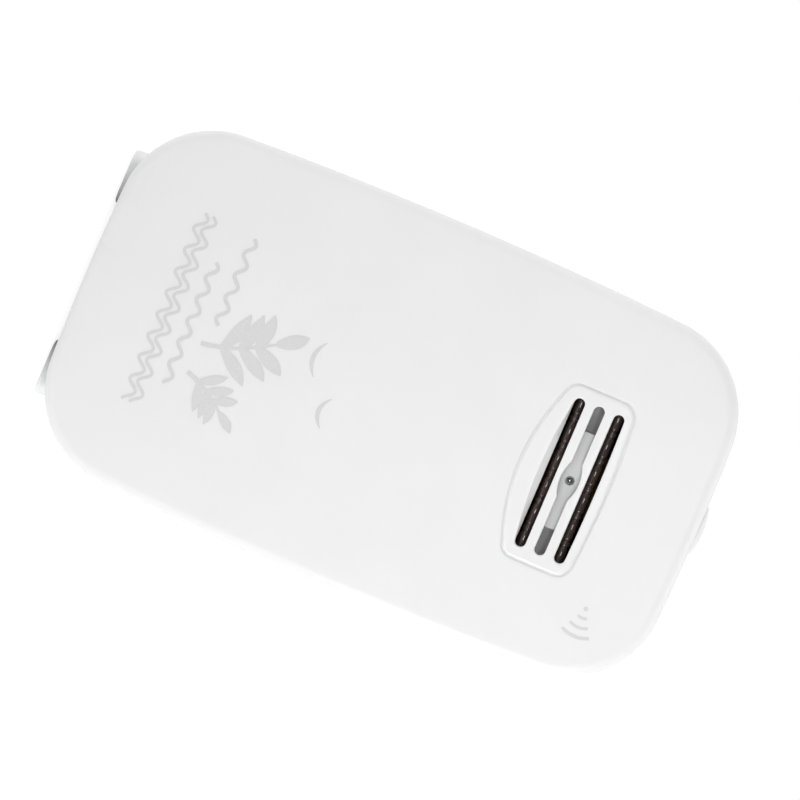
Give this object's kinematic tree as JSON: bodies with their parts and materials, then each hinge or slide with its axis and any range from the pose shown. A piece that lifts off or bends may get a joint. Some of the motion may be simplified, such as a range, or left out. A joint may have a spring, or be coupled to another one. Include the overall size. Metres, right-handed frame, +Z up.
{
  "type": "ultrasonic pest repeller",
  "caption": "Upright battery-powered ultrasonic pest repeller with a slotted sound outlet, an ion emitter pin, a push button on top, two feet and a hinged battery door behind.",
  "frame": {"origin": "bottom centre of the object, on the surface that the feet stand on", "axes": "+Z up through the push button, +X to the object's right as seen from the front, -Y out of the front face, +Y out of the battery door"},
  "size_m": [0.0734, 0.038, 0.128],
  "materials": {
    "shell_white": "satin moulded ABS",
    "bezel_white": "semi-gloss moulded ABS",
    "foot_rubber": "matt soft elastomer",
    "screw_steel": "zinc-plated",
    "holder_grey": "satin light grey",
    "pin_steel": "bright drawn",
    "horn_brown": "polished dark brown",
    "disc_brass": "rolled sheet",
    "disc_ceramic": "fired, silvered",
    "part_black": "moulded black",
    "board_green": "solder mask",
    "winding_copper": "enamelled copper winding",
    "can_sleeve": "sleeved can",
    "cell_wrap": "printed film over a steel can",
    "contact_nickel": "nickel-plated spring steel",
    "wire_white": "silicone insulation",
    "wire_red": "PVC insulation",
    "wire_black": "PVC insulation"
  },
  "bodies": {
    "housing": {"front_shell": "shell_white", "rear_shell": "shell_white", "grille_bezel": "bezel_white", "foot_left": "foot_rubber", "foot_right": "foot_rubber", "case_screw_1": "screw_steel", "case_screw_2": "screw_steel", "case_screw_3": "screw_steel", "case_screw_4": "screw_steel", "horn_screw_1": "screw_steel", "horn_screw_2": "screw_steel", "board_screw_1": "screw_steel", "board_screw_2": "screw_steel", "board_screw_3": "screw_steel", "board_screw_4": "screw_steel", "emitter_holder": "holder_grey", "emitter_pin": "pin_steel", "dc_inlet_pin": "pin_steel", "ultrasonic_horn": "horn_brown", "piezo_plate": "disc_brass", "piezo_ceramic": "disc_ceramic", "horn_cap": "part_black", "hv_module": "part_black", "controller_chip": "part_black", "switch_body": "part_black", "dc_inlet": "part_black", "main_board": "board_green", "driver_coil": "winding_copper", "capacitor_1": "can_sleeve", "capacitor_2": "can_sleeve", "battery_1": "cell_wrap", "battery_2": "cell_wrap", "battery_3": "cell_wrap", "battery_4": "cell_wrap", "contact_bottom_left": "contact_nickel", "contact_bottom_right": "contact_nickel", "contact_top_positive": "contact_nickel", "contact_top_middle": "contact_nickel", "contact_top_negative": "contact_nickel", "hv_lead": "wire_white", "transducer_lead_1": "wire_red", "battery_lead_positive": "wire_red", "inlet_lead_1": "wire_red", "transducer_lead_2": "wire_black", "battery_lead_negative": "wire_black", "inlet_lead_2": "wire_black"},
    "button": {"power_button": "bezel_white", "switch_plunger": "holder_grey"},
    "battery_door": {"battery_door": "shell_white"}
  },
  "joints": [
    {"name": "button_press", "type": "slide", "parent": "housing", "child": "button", "axis": [0, 0, -1], "range_m": [0, 0.0015], "stiffness_N_per_m": 1000, "springref_m": -0.001},
    {"name": "battery_door_hinge", "type": "hinge", "parent": "housing", "child": "battery_door", "pos_m": [0, 0.0173, 0.0136], "axis": [-1, 0, 0], "range_deg": [0, 90]}
  ]
}
